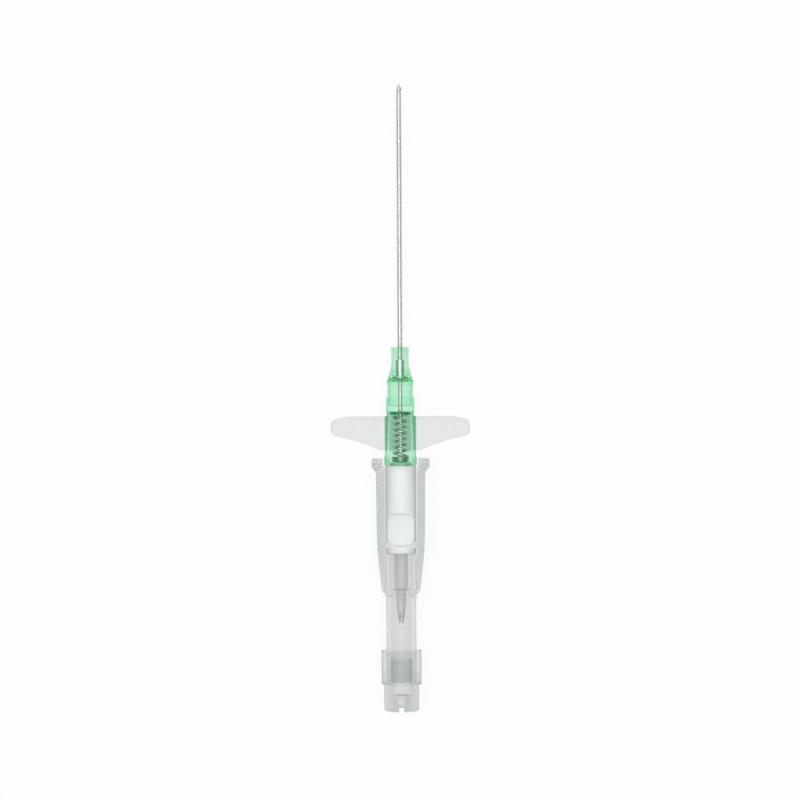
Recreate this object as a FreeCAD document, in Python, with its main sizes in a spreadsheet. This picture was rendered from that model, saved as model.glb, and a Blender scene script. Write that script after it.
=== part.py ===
import FreeCAD, Part
import math
import os

import Sketcher
from FreeCAD import Placement, Rotation, Vector

# Winged safety IV cannula, green gauge code, in millimetres.
# Every piece lies along Y: stations count from the rear end of the vent plug (0) towards the
# needle's tip, radii count from the needle's axis, and +Z is the side seen from above.

SIZES = {
    # needle: a ground steel tube glued in its holder
    "needle_od": 0.82,
    "needle_bore": 0.56,
    "needle_reach": 2.05,
    "bevel_length": 1.9,
    "crimp_od": 0.86,
    "crimp_length": 0.8,
    "crimp_setback": 8.0,
    "needle_tail": 0.9,
    # catheter tube and the ferrule that wedges it into the hub
    "tube_od": 1.2,
    "tube_bore": 0.92,
    "tube_exposed": 45.0,
    "tip_taper": 2.0,
    "tip_od": 1.0,
    "flare_od": 1.9,
    "flare_lead": 0.2,
    "flare_length": 2.5,
    "flare_barrel": 2.9,
    "wedge_wall": 0.12,
    "wedge_flange_od": 2.8,
    "wedge_flange": 0.45,
    "seat_gap": 0.02,
    "cut_margin": 1.0,
    # catheter hub with its Luer socket
    "hub_length": 21.0,
    "nose_collar_od": 3.2,
    "nose_collar": 0.95,
    "nose_od": 3.08,
    "nose_length": 2.3,
    "cone_length": 2.5,
    "cone_od": 4.35,
    "ring_od": 4.72,
    "ring_length": 0.85,
    "window_od": 4.56,
    "window_length": 2.35,
    "waist_od": 5.06,
    "waist_length": 2.6,
    "groove_od": 4.9,
    "groove_length": 0.7,
    "hub_od": 5.6,
    "rim_od": 5.84,
    "rim_length": 1.3,
    "lug_height": 3.9,
    "lug_width": 3.0,
    "lug_length": 1.15,
    "chamber_bore": 3.0,
    "chamber_length": 5.2,
    "step_bore": 3.74,
    "luer_mouth": 4.3,
    "luer_depth": 7.5,
    "luer_taper": 0.06,
    # wings, moulded with the saddle that grips the underside of the hub
    "wing_span": 24.9,
    "wing_setback": 12.3,
    "wing_chord": 6.1,
    "wing_thickness": 0.8,
    "wing_shoulder": 17.8,
    "wing_sweep": 0.55,
    "tip_chord": 2.5,
    "tip_corner": 0.8,
    "saddle_wall": 0.5,
    "saddle_angle": 104.0,
    # needle guard: a spring coil between a cap and a band that run on the needle
    "coil_od": 3.0,
    "wire_od": 0.44,
    "coil_pitch": 1.03,
    "coil_turns": 7.0,
    "cap_od": 3.6,
    "washer": 0.35,
    "guard_band": 0.8,
    "running_gap": 0.02,
    "band_gap": 0.015,
    "guard_gap": 0.05,
    # needle holder, pressed into the grip
    "spigot_od": 3.9,
    "spigot_length": 0.6,
    "holder_od": 5.5,
    "holder_length": 15.7,
    "holder_rim": 0.9,
    "recess_width": 4.8,
    "recess_length": 6.0,
    "recess_setback": 1.3,
    "recess_depth": 1.3,
    "recess_corner": 1.9,
    "notch_depth": 0.62,
    "notch_length": 1.35,
    "boss_od": 2.8,
    "boss_length": 6.2,
    "cone_tail": 5.2,
    "tail_od": 2.1,
    "cone_tip_od": 1.15,
    # grip shell: two finger plates, the funnel behind them and the flash chamber
    "grip_overhang": 1.25,
    "flange_length": 1.5,
    "flange_slope": 0.8,
    "flange_width": 10.3,
    "mouth_gap": 0.25,
    "grip_width": 8.8,
    "waist_width": 8.5,
    "funnel_width": 7.7,
    "shoulder_width": 6.76,
    "grip_height": 7.8,
    "waist_height": 7.66,
    "funnel_height": 7.2,
    "shoulder_height": 6.2,
    "grip_corner": 1.1,
    "holder_gap": 0.1,
    "catch_root": 0.3,
    "catch_width": 4.0,
    "funnel_bore": 5.2,
    "funnel_floor": 0.3,
    "funnel_length": 6.55,
    "waist_setback": 2.18,
    "funnel_setback": 2.62,
    "shoulder_length": 0.9,
    "barrel_od": 5.34,
    "barrel_root": 0.1,
    "barrel_bore": 3.9,
    "barrel_length": 15.2,
    # vent plug over the rear of the flash chamber, with its porous filter
    "plug_end": 4.8,
    "plug_end_od": 6.2,
    "skirt_length": 6.05,
    "skirt_od": 7.1,
    "plug_ease": 0.4,
    "plug_floor": 0.55,
    "plug_gap": 0.05,
    "skirt_bore": 5.9,
    "skirt_seat": 1.8,
    "plug_spigot": 3.9,
    "plug_spigot_bore": 2.7,
    "vent_wall": 1.3,
    "vent_hole": 1.0,
    "slot_width": 0.9,
    "slot_depth": 0.9,
    "filter_length": 1.6,
}

# Stations along the axis, worked out from the sizes above.
STATIONS = {
    "plug_collar": "Sizes.plug_end",
    "barrel_rear": "Sizes.plug_end + Sizes.plug_floor",
    "skirt_front": "Sizes.plug_end + Sizes.skirt_length",
    "shoulder_rear": "At.barrel_rear + Sizes.barrel_length",
    "shoulder_front": "At.shoulder_rear + Sizes.shoulder_length",
    "funnel_rear": "At.shoulder_front + Sizes.funnel_floor",
    "holder_rear": "At.shoulder_front + Sizes.funnel_length",
    "holder_front": "At.holder_rear + Sizes.holder_length",
    "grip_front": "At.holder_front + Sizes.grip_overhang",
    "flange_rear": "At.grip_front - Sizes.flange_length",
    "plates_front": "At.flange_rear - Sizes.flange_slope",
    "hub_rear": "At.holder_front + Sizes.guard_gap",
    "hub_nose": "At.hub_rear + Sizes.hub_length",
    "tube_tip": "At.hub_nose + Sizes.tube_exposed",
    "needle_tip": "At.tube_tip + Sizes.needle_reach",
    "boss_rear": "At.holder_rear - Sizes.boss_length",
    "cone_rear": "At.boss_rear - Sizes.cone_tail",
    "needle_rear": "At.cone_rear - Sizes.needle_tail",
    "nose_rear": "At.hub_nose - Sizes.nose_collar - Sizes.nose_length",
    "cone_end": "At.nose_rear - Sizes.cone_length",
    "ring_rear": "At.cone_end - Sizes.ring_length",
    "window_rear": "At.ring_rear - Sizes.window_length",
    "waist_rear": "At.window_rear - Sizes.waist_length",
    "groove_rear": "At.waist_rear - Sizes.groove_length",
    "flare_front": "At.hub_nose + Sizes.flare_lead",
    "flare_rear": "At.flare_front - Sizes.flare_length",
    "tube_rear": "At.flare_rear - Sizes.flare_barrel",
    "wedge_seat": "At.tube_rear - Sizes.seat_gap",
    "wedge_rear": "At.wedge_seat - Sizes.wedge_flange",
    "chamber_rear": "At.wedge_seat - Sizes.chamber_length",
    "luer_front": "At.hub_rear + Sizes.luer_depth",
    "spigot_front": "At.holder_front + Sizes.spigot_length",
    "guard_rear": "At.spigot_front + Sizes.guard_gap",
    "coil_rear": "At.guard_rear + Sizes.guard_band + Sizes.wire_od / 2 + Sizes.seat_gap",
    "coil_front": "At.coil_rear + Sizes.coil_turns * Sizes.coil_pitch",
    "cap_rear": "At.coil_front + Sizes.wire_od / 2 + Sizes.seat_gap",
    "wing_front": "At.hub_nose - Sizes.wing_setback",
    "wing_rear": "At.wing_front - Sizes.wing_chord",
    "middle": "At.needle_tip / 2",
}

PIECES = []
doc = FreeCAD.newDocument("iv_cannula")
sheet = doc.addObject("Spreadsheet::Sheet", "Sizes")
stations = doc.addObject("App::VarSet", "At")


def write_sizes():
    """Fill the sheet with one named cell per size, then the stations that follow from them."""
    for row, (alias, size) in enumerate(SIZES.items(), start=1):
        sheet.set(f"A{row}", alias.replace("_", " "))
        sheet.set(f"B{row}", str(size))
        sheet.setAlias(f"B{row}", alias)
    doc.recompute()
    for name, expression in STATIONS.items():
        stations.addProperty("App::PropertyFloat", name)
        stations.setExpression(name, expression)
        doc.recompute()


def value(expression):
    """The number that an expression gives with the sizes as they are."""
    return float(sheet.evalExpression(expression))


def place(piece, label, station="0"):
    """Name a finished piece and move it from the needle's axis to the resting frame."""
    piece.Label = label
    piece.setExpression("Placement.Base.y", f"{station} - At.middle")
    piece.setExpression("Placement.Base.z", "Sizes.lug_height")
    PIECES.append(piece)


def new_body(name):
    """An empty body."""
    return doc.addObject("PartDesign::Body", name)


def new_sketch(body, name, role, offset="0"):
    """A sketch on one of the body's origin planes, moved along its normal by offset."""
    sketch = body.newObject("Sketcher::SketchObject", name)
    plane = next(item for item in body.Origin.OriginFeatures if item.Role == role)
    sketch.AttachmentSupport = [(plane, "")]
    sketch.MapMode = "FlatFace"
    if offset != "0":
        sketch.setExpression("AttachmentOffset.Base.z", offset)
    return sketch


def pin_point(sketch, edge, end, x, y):
    """Tie one end of a sketch edge to its distances from the origin."""
    for kind, expression in (("DistanceX", x), ("DistanceY", y)):
        if expression is not None:
            constraint = Sketcher.Constraint(kind, -1, 1, edge, end, value(expression))
            index = sketch.addConstraint(constraint)
            sketch.setExpression(f"Constraints[{index}]", expression)


def outline(body, name, role, points, offset="0"):
    """A closed sketch of straight edges through points, each a pair of expressions."""
    sketch = new_sketch(body, name, role, offset)
    corners = [Vector(value(x), value(y), 0) for x, y in points]
    count = len(corners)
    for index, corner in enumerate(corners):
        sketch.addGeometry(Part.LineSegment(corner, corners[(index + 1) % count]), False)
    for index in range(count):
        sketch.addConstraint(Sketcher.Constraint("Coincident", index, 2, (index + 1) % count, 1))
    for index, (x, y) in enumerate(points):
        pin_point(sketch, index, 1, x, y)
    return sketch


def rounded_rectangle(body, name, role, offset, half_x, half_y, corner, centre_y="0"):
    """A closed sketch of a rectangle with four equal round corners."""
    sketch = new_sketch(body, name, role, offset)
    wide, high, radius, middle = (value(text) for text in (half_x, half_y, corner, centre_y))
    low, top = middle - high, middle + high
    edges = [
        ((radius - wide, low), (wide - radius, low)),
        ((wide, low + radius), (wide, top - radius)),
        ((wide - radius, top), (radius - wide, top)),
        ((-wide, top - radius), (-wide, low + radius)),
    ]
    centres = [(1, low + radius), (1, top - radius), (-1, top - radius), (-1, low + radius)]
    for start, end in edges:
        sketch.addGeometry(Part.LineSegment(Vector(*start, 0), Vector(*end, 0)), False)
    for quarter, (side, y) in enumerate(centres):
        circle = Part.Circle(Vector(side * (wide - radius), y, 0), Vector(0, 0, 1), radius)
        first = (quarter - 1) * math.pi / 2
        sketch.addGeometry(Part.ArcOfCircle(circle, first, first + math.pi / 2), False)
    for edge in range(4):
        sketch.addConstraint(Sketcher.Constraint("Tangent", edge, 2, 4 + edge, 1))
        sketch.addConstraint(Sketcher.Constraint("Tangent", 4 + edge, 2, (edge + 1) % 4, 1))
        sketch.addConstraint(Sketcher.Constraint("Vertical" if edge % 2 else "Horizontal", edge))
    for arc in (5, 6, 7):
        sketch.addConstraint(Sketcher.Constraint("Equal", 4, arc))
    pin_point(sketch, 0, 1, None, f"{centre_y} - {half_y}")
    pin_point(sketch, 1, 1, half_x, None)
    pin_point(sketch, 2, 1, None, f"{centre_y} + {half_y}")
    pin_point(sketch, 3, 1, f"-({half_x})", None)
    index = sketch.addConstraint(Sketcher.Constraint("Radius", 4, radius))
    sketch.setExpression(f"Constraints[{index}]", corner)
    return sketch


def feature(body, kind, name, sketch):
    """A feature of the body that works from a sketch."""
    made = body.newObject(f"PartDesign::{kind}", name)
    made.Profile = (sketch, [""])
    return made


def turned(body, kind, name, points):
    """A Revolution or Groove of an outline of (radius, station) pairs about the needle's axis."""
    sketch = outline(body, f"{name}_profile", "XY_Plane", points)
    made = feature(body, kind, name, sketch)
    made.ReferenceAxis = (sketch, ["V_Axis"])
    made.Angle = 360
    doc.recompute()
    return made


def cut_through(body, name, sketch):
    """A pocket that leaves the body on both sides of its sketch."""
    made = feature(body, "Pocket", name, sketch)
    made.Type = "ThroughAll"
    made.SideType = "Symmetric"
    doc.recompute()
    return made


def strip(half_width, low, top):
    """The four corners of a strip across the axis, between two stations."""
    return [(f"-({half_width})", low), (half_width, low), (half_width, top), (f"-({half_width})", top)]


def edges_like(base, test):
    """The names of the edges of a feature's shape that pass a test."""
    return [f"Edge{n}" for n, edge in enumerate(base.Shape.Edges, start=1) if test(edge)]


def eased(body, kind, name, base, test, size):
    """A Fillet or Chamfer of the edges of base that pass a test."""
    made = body.newObject(f"PartDesign::{kind}", name)
    made.Base = (base, edges_like(base, test))
    made.setExpression("Radius" if kind == "Fillet" else "Size", size)
    doc.recompute()
    return made


def circle_at(edge, station, radius):
    """Whether an edge is a full circle about the axis at a station."""
    curve = edge.Curve
    return (
        isinstance(curve, Part.Circle)
        and abs(curve.Radius - value(radius)) < 1e-4
        and abs(curve.Center.y - value(station)) < 1e-4
    )


def make_needle():
    """Steel tube with a bevelled point and a crimp that stops the guard behind the bevel."""
    body = new_body("NeedleBody")
    outer, bore = "Sizes.needle_od / 2", "Sizes.needle_bore / 2"
    crimp = "(At.tube_tip - Sizes.crimp_setback)"
    turned(body, "Revolution", "Tube", [
        (bore, "At.needle_rear"),
        (outer, "At.needle_rear"),
        (outer, f"{crimp} - Sizes.crimp_length"),
        ("Sizes.crimp_od / 2", f"{crimp} - Sizes.crimp_length"),
        ("Sizes.crimp_od / 2", crimp),
        (outer, crimp),
        (outer, "At.needle_tip"),
        (bore, "At.needle_tip"),
    ])
    bevel = outline(body, "BevelSide", "YZ_Plane", [
        ("At.needle_tip - Sizes.bevel_length", outer),
        ("At.needle_tip", f"-{outer}"),
        ("At.needle_tip + Sizes.bevel_length", f"-{outer}"),
        ("At.needle_tip + Sizes.bevel_length", f"{outer} + Sizes.bevel_length"),
        ("At.needle_tip - Sizes.bevel_length", f"{outer} + Sizes.bevel_length"),
    ])
    cut_through(body, "Bevel", bevel)
    place(body, "needle")


def make_catheter_tube():
    """Soft tube that thins to the needle at its tip and flares over the ferrule in the hub."""
    body = new_body("TubeBody")
    wall = "(Sizes.tube_od - Sizes.tube_bore) / 2"
    turned(body, "Revolution", "Tube", [
        ("Sizes.tube_od / 2", "At.flare_front"),
        ("Sizes.tube_od / 2", "At.tube_tip - Sizes.tip_taper"),
        ("Sizes.tip_od / 2", "At.tube_tip"),
        ("Sizes.tube_bore / 2", "At.tube_tip"),
        ("Sizes.tube_bore / 2", "At.flare_front"),
        (f"Sizes.flare_od / 2 - {wall}", "At.flare_rear"),
        (f"Sizes.flare_od / 2 - {wall}", "At.tube_rear"),
        ("Sizes.flare_od / 2", "At.tube_rear"),
        ("Sizes.flare_od / 2", "At.flare_rear"),
    ])
    place(body, "catheter_tube")


def make_tube_wedge():
    """Flanged steel ferrule that jams the flared end of the tube in the hub's nose."""
    body = new_body("WedgeBody")
    wide = "Sizes.flare_od / 2 - (Sizes.tube_od - Sizes.tube_bore) / 2 - Sizes.seat_gap"
    turned(body, "Revolution", "Ferrule", [
        (f"{wide} - Sizes.wedge_wall", "At.flare_rear"),
        (f"{wide} - Sizes.wedge_wall", "At.wedge_rear"),
        ("Sizes.wedge_flange_od / 2", "At.wedge_rear"),
        ("Sizes.wedge_flange_od / 2", "At.wedge_seat"),
        (wide, "At.wedge_seat"),
        (wide, "At.flare_rear"),
    ])
    place(body, "tube_wedge")


def make_catheter_hub():
    """Stepped translucent hub: nose over the tube, view chamber, and Luer socket with two lugs."""
    body = new_body("HubBody")
    turned(body, "Revolution", "Outside", [
        ("0", "At.hub_rear"),
        ("Sizes.rim_od / 2", "At.hub_rear"),
        ("Sizes.rim_od / 2", "At.hub_rear + Sizes.rim_length"),
        ("Sizes.hub_od / 2", "At.hub_rear + Sizes.rim_length"),
        ("Sizes.hub_od / 2", "At.groove_rear"),
        ("Sizes.groove_od / 2", "At.groove_rear"),
        ("Sizes.groove_od / 2", "At.waist_rear"),
        ("Sizes.waist_od / 2", "At.waist_rear"),
        ("Sizes.waist_od / 2", "At.window_rear"),
        ("Sizes.window_od / 2", "At.window_rear"),
        ("Sizes.window_od / 2", "At.ring_rear"),
        ("Sizes.ring_od / 2", "At.ring_rear"),
        ("Sizes.ring_od / 2", "At.cone_end"),
        ("Sizes.cone_od / 2", "At.cone_end"),
        ("Sizes.nose_od / 2", "At.nose_rear"),
        ("Sizes.nose_od / 2", "At.hub_nose - Sizes.nose_collar"),
        ("Sizes.nose_collar_od / 2", "At.hub_nose - Sizes.nose_collar"),
        ("Sizes.nose_collar_od / 2", "At.hub_nose"),
        ("0", "At.hub_nose"),
    ])
    lugs = feature(body, "Pad", "Lugs", outline(
        body, "LugPlan", "XY_Plane",
        strip("Sizes.lug_width / 2", "At.hub_rear", "At.hub_rear + Sizes.lug_length"),
    ))
    lugs.SideType = "Symmetric"
    lugs.setExpression("Length", "2 * Sizes.lug_height")
    doc.recompute()
    flare = "Sizes.flare_od / 2 + Sizes.seat_gap"
    growth = "(Sizes.flare_od - Sizes.tube_od) / 2 * Sizes.flare_lead / Sizes.flare_length"
    nose_bore = f"Sizes.tube_od / 2 + {growth} + Sizes.seat_gap"
    turned(body, "Groove", "Bore", [
        ("0", "At.hub_rear"),
        ("Sizes.luer_mouth / 2", "At.hub_rear"),
        ("(Sizes.luer_mouth - Sizes.luer_taper * Sizes.luer_depth) / 2", "At.luer_front"),
        ("Sizes.step_bore / 2", "At.luer_front"),
        ("Sizes.step_bore / 2", "At.chamber_rear"),
        ("Sizes.chamber_bore / 2", "At.chamber_rear"),
        ("Sizes.chamber_bore / 2", "At.wedge_seat"),
        (flare, "At.wedge_seat"),
        (flare, "At.flare_rear"),
        (nose_bore, "At.hub_nose"),
        ("0", "At.hub_nose"),
    ])
    place(body, "catheter_hub")


def make_wings():
    """Two flexible wings on one saddle, flat underneath so that they lie on the skin."""
    body = new_body("WingsBody")
    tip, shoulder, root = "Sizes.wing_span / 2", "Sizes.wing_shoulder / 2", "Sizes.hub_od / 2"
    front, rear = "At.wing_front", "At.wing_rear"
    swept = f"{front} - Sizes.wing_sweep"
    right = [
        (root, rear),
        (f"{tip} - Sizes.tip_corner", f"{swept} - Sizes.tip_chord - Sizes.tip_corner / 2"),
        (tip, f"{swept} - Sizes.tip_chord"),
        (tip, f"{swept} - Sizes.tip_corner"),
        (f"{tip} - Sizes.tip_corner", swept),
        (shoulder, front),
    ]
    left = [(f"-({x})", y) for x, y in reversed(right)]
    sketch = outline(body, "WingPlan", "XY_Plane", right + left, "-Sizes.lug_height")
    plate = feature(body, "Pad", "Plate", sketch)
    plate.setExpression("Length", "Sizes.wing_thickness")
    doc.recompute()
    top = value("Sizes.wing_thickness - Sizes.lug_height")
    eased(body, "Fillet", "SoftEdge", plate, lambda edge: edge.BoundBox.ZMin > top - 1e-4,
          "Sizes.wing_thickness * 0.4")
    inner = "Sizes.hub_od / 2 + Sizes.seat_gap"
    ring = outline(body, "SaddleSection", "YZ_Plane", [
        (rear, f"-({inner})"),
        (front, f"-({inner})"),
        (front, f"-({inner} + Sizes.saddle_wall)"),
        (rear, f"-({inner} + Sizes.saddle_wall)"),
    ])
    saddle = feature(body, "Revolution", "Saddle", ring)
    saddle.ReferenceAxis = (ring, ["H_Axis"])
    saddle.Midplane = True
    saddle.setExpression("Angle", "Sizes.saddle_angle")
    doc.recompute()
    place(body, "wings")


def make_guard_spring():
    """Spring coil round the needle, drawn with four-sided wire, between the guard's two ends."""
    radius = "(Sizes.coil_od - Sizes.wire_od) / 2"
    helix = doc.addObject("Part::Helix", "CoilPath")
    helix.Placement = Placement(Vector(0, 0, 0), Rotation(Vector(1, 0, 0), -90))
    helix.setExpression("Pitch", "Sizes.coil_pitch")
    helix.setExpression("Height", "Sizes.coil_turns * Sizes.coil_pitch")
    helix.setExpression("Radius", radius)
    helix.setExpression("Placement.Base.y", "At.coil_rear")
    wire = doc.addObject("Part::RegularPolygon", "WireSection")
    wire.Polygon = 4
    wire.setExpression("Circumradius", "Sizes.wire_od / 2")
    wire.setExpression("Placement.Base.x", radius)
    wire.setExpression("Placement.Base.y", "At.coil_rear")
    coil = doc.addObject("Part::Sweep", "Coil")
    coil.Sections = [wire]
    coil.Spine = (helix, [])
    coil.Solid = True
    coil.Frenet = True
    doc.recompute()
    place(coil, "guard_spring")


def make_guard_cap():
    """Front end of the guard, a steel washer wide enough to pass the crimp."""
    body = new_body("CapBody")
    hole = "Sizes.crimp_od / 2 + Sizes.running_gap"
    turned(body, "Revolution", "Washer", [
        (hole, "At.cap_rear"),
        ("Sizes.cap_od / 2", "At.cap_rear"),
        ("Sizes.cap_od / 2", "At.cap_rear + Sizes.washer"),
        (hole, "At.cap_rear + Sizes.washer"),
    ])
    place(body, "guard_cap")


def make_guard_band():
    """Rear end of the guard, a shallow steel cup whose tight hole stops at the needle's crimp."""
    body = new_body("BandBody")
    hole = "Sizes.needle_od / 2 + Sizes.band_gap"
    inner = "Sizes.coil_od / 2 - Sizes.washer"
    front = "At.guard_rear + Sizes.guard_band"
    turned(body, "Revolution", "Cup", [
        (hole, "At.guard_rear"),
        ("Sizes.coil_od / 2", "At.guard_rear"),
        ("Sizes.coil_od / 2", front),
        (inner, front),
        (inner, "At.guard_rear + Sizes.washer"),
        (hole, "At.guard_rear + Sizes.washer"),
    ])
    place(body, "guard_band")


def make_needle_holder():
    """Milky moulding that holds the needle: spigot, barrel with two recesses, boss and tail cone."""
    body = new_body("HolderBody")
    barrel = "Sizes.holder_od / 2"
    turned(body, "Revolution", "Core", [
        ("0", "At.cone_rear"),
        ("Sizes.cone_tip_od / 2", "At.cone_rear"),
        ("Sizes.tail_od / 2", "At.boss_rear"),
        ("Sizes.boss_od / 2", "At.boss_rear"),
        ("Sizes.boss_od / 2", "At.holder_rear"),
        (barrel, "At.holder_rear"),
        (barrel, "At.holder_front"),
        ("Sizes.spigot_od / 2", "At.holder_front"),
        ("Sizes.spigot_od / 2", "At.spigot_front"),
        ("0", "At.spigot_front"),
    ])
    middle = "(At.holder_rear + Sizes.recess_setback + Sizes.recess_length / 2)"
    for name, side in (("Upper", 1), ("Lower", -1)):
        floor = f"{side} * ({barrel} - Sizes.recess_depth)"
        sketch = rounded_rectangle(
            body, f"{name}RecessPlan", "XY_Plane", floor,
            "Sizes.recess_width / 2", "Sizes.recess_length / 2", "Sizes.recess_corner", middle,
        )
        recess = feature(body, "Pocket", f"{name}Recess", sketch)
        recess.Reversed = side > 0
        recess.setExpression("Length", "2 * Sizes.recess_depth")
        doc.recompute()
    low = "At.holder_rear + Sizes.holder_rim"
    top = f"{low} + Sizes.notch_length"
    for name, side in (("Right", ""), ("Left", "-")):
        inner, outer = f"{side}({barrel} - Sizes.notch_depth)", f"{side}({barrel} + Sizes.cut_margin)"
        cut_through(body, f"{name}Notch", outline(body, f"{name}NotchPlan", "XY_Plane", [
            (inner, low), (outer, low), (outer, top), (inner, top),
        ]))
    bore = "Sizes.needle_od / 2 + Sizes.seat_gap"
    turned(body, "Groove", "NeedleBore", [
        ("0", "At.cone_rear"),
        (bore, "At.cone_rear"),
        (bore, "At.spigot_front"),
        ("0", "At.spigot_front"),
    ])
    place(body, "needle_holder")


def make_grip_shell():
    """Clear moulding: flared finger plates, funnel, shoulder and the barrel that shows the blood."""
    body = new_body("GripBody")
    half_height = "Sizes.grip_height / 2"
    barrel_root = "Sizes.barrel_od / 2 + Sizes.barrel_root"
    sections = [
        ("At.grip_front", "Sizes.flange_width / 2", half_height),
        ("At.flange_rear", "Sizes.flange_width / 2", half_height),
        ("At.plates_front", "Sizes.grip_width / 2", half_height),
        ("At.holder_rear + Sizes.waist_setback", "Sizes.waist_width / 2", "Sizes.waist_height / 2"),
        ("At.holder_rear - Sizes.funnel_setback", "Sizes.funnel_width / 2", "Sizes.funnel_height / 2"),
        ("At.shoulder_front", "Sizes.shoulder_width / 2", "Sizes.shoulder_height / 2"),
        ("At.shoulder_rear", barrel_root, barrel_root),
    ]
    sketches = []
    for n, (station, wide, high) in enumerate(sections, start=1):
        name, offset = f"GripSection{n}", f"-({station})"
        sketch = rounded_rectangle(body, name, "XZ_Plane", offset, wide, high, "Sizes.grip_corner")
        sketches.append(sketch)
    skin = feature(body, "AdditiveLoft", "Skin", sketches[0])
    skin.Sections = [(sketch, [""]) for sketch in sketches[1:]]
    skin.Ruled = True
    doc.recompute()
    turned(body, "Revolution", "Barrel", [
        ("0", "At.barrel_rear"),
        ("Sizes.barrel_od / 2", "At.barrel_rear"),
        ("Sizes.barrel_od / 2", "At.shoulder_front"),
        ("0", "At.shoulder_front"),
    ])
    channel = "Sizes.holder_od / 2 + Sizes.holder_gap"
    beyond = "At.grip_front + Sizes.cut_margin"
    cut_through(body, "Channel", outline(
        body, "ChannelPlan", "XY_Plane", strip(channel, "At.holder_rear", beyond),
    ))
    mouth = "Sizes.rim_od / 2 + Sizes.mouth_gap"
    cut_through(body, "Mouth", outline(
        body, "MouthPlan", "XY_Plane",
        strip(mouth, "At.holder_front - Sizes.mouth_gap", beyond),
    ))
    turned(body, "Groove", "Chamber", [
        ("0", "At.barrel_rear"),
        ("Sizes.barrel_bore / 2", "At.barrel_rear"),
        ("Sizes.barrel_bore / 2", "At.funnel_rear"),
        ("Sizes.funnel_bore / 2", "At.funnel_rear"),
        ("Sizes.funnel_bore / 2", "At.holder_rear"),
        ("0", "At.holder_rear"),
    ])
    low = "At.holder_rear + Sizes.holder_rim + Sizes.holder_gap"
    top = "At.holder_rear + Sizes.holder_rim + Sizes.notch_length - Sizes.holder_gap"
    for name, side in (("Right", ""), ("Left", "-")):
        inner = f"{side}(Sizes.holder_od / 2 - Sizes.notch_depth + Sizes.holder_gap)"
        outer = f"{side}({channel} + Sizes.catch_root)"
        catch = feature(body, "Pad", f"{name}Catch", outline(
            body, f"{name}CatchPlan", "XY_Plane", [(inner, low), (outer, low), (outer, top), (inner, top)],
        ))
        catch.SideType = "Symmetric"
        catch.setExpression("Length", "Sizes.catch_width")
        doc.recompute()
    place(body, "grip_shell")


def make_vent_plug():
    """Slotted cap: a skirt over the flash chamber and a hollow spigot inside it."""
    body = new_body("PlugBody")
    end, skirt = "Sizes.plug_end_od / 2", "Sizes.skirt_od / 2"
    spigot = "Sizes.barrel_bore / 2 - Sizes.plug_gap"
    spigot_front = "At.barrel_rear + Sizes.plug_spigot"
    floor = "At.barrel_rear - Sizes.plug_gap"
    sleeve = "Sizes.barrel_od / 2 + Sizes.plug_gap"
    cap = turned(body, "Revolution", "Cap", [
        ("Sizes.vent_hole / 2", "0"),
        (end, "0"),
        (end, "At.plug_collar"),
        (skirt, "At.plug_collar"),
        (skirt, "At.skirt_front"),
        ("Sizes.skirt_bore / 2", "At.skirt_front"),
        ("Sizes.skirt_bore / 2", "At.barrel_rear + Sizes.skirt_seat"),
        (sleeve, "At.barrel_rear + Sizes.skirt_seat"),
        (sleeve, floor),
        (spigot, floor),
        (spigot, spigot_front),
        ("Sizes.plug_spigot_bore / 2", spigot_front),
        ("Sizes.plug_spigot_bore / 2", "Sizes.vent_wall"),
        ("Sizes.vent_hole / 2", "Sizes.vent_wall"),
    ])
    eased(body, "Chamfer", "EasedEnd", cap, lambda edge: circle_at(edge, "0", end), "Sizes.plug_ease")
    cut_through(body, "Slot", outline(
        body, "SlotPlan", "XY_Plane", strip("Sizes.slot_width / 2", "-Sizes.cut_margin", "Sizes.slot_depth"),
    ))
    place(body, "vent_plug")


def make_filter_disc():
    """Porous plug that lets air out of the flash chamber and holds the blood back."""
    disc = doc.addObject("Part::Cylinder", "FilterDisc")
    disc.Placement = Placement(Vector(0, 0, 0), Rotation(Vector(1, 0, 0), -90))
    disc.setExpression("Radius", "Sizes.plug_spigot_bore / 2 - Sizes.seat_gap")
    disc.setExpression("Height", "Sizes.filter_length")
    doc.recompute()
    place(disc, "filter_disc", "Sizes.vent_wall + Sizes.seat_gap")


def check_and_write():
    """Stop on any failed object or bad solid, then write one STEP file per piece."""
    failed = [item.Name for item in doc.Objects if {"Invalid", "Error"} & set(item.State)]
    if failed:
        raise RuntimeError(f"these objects did not compute: {', '.join(failed)}")
    os.makedirs("parts", exist_ok=True)
    for piece in PIECES:
        shape = piece.Shape
        if shape.isNull() or not shape.isValid() or len(shape.Solids) != 1:
            raise RuntimeError(f"{piece.Label} is not one valid solid")
    for piece in PIECES:
        piece.Shape.exportStep(f"parts/{piece.Label}.step")
        box = piece.Shape.BoundBox
        print(f"{piece.Label}: {piece.Shape.Volume:.2f} mm3, y {box.YMin:.2f} to {box.YMax:.2f}")


write_sizes()
make_needle()
make_catheter_tube()
make_tube_wedge()
make_catheter_hub()
make_wings()
make_guard_band()
make_guard_spring()
make_guard_cap()
make_needle_holder()
make_grip_shell()
make_vent_plug()
make_filter_disc()
doc.recompute()
check_and_write()
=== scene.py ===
"""Looks of a winged safety IV cannula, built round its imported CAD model."""

import logging
import math
from dataclasses import dataclass, field
from enum import Enum
from typing import Callable, Iterable, NamedTuple, Optional, Sequence

import bmesh
import bpy
from mathutils import Matrix, Vector

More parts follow.
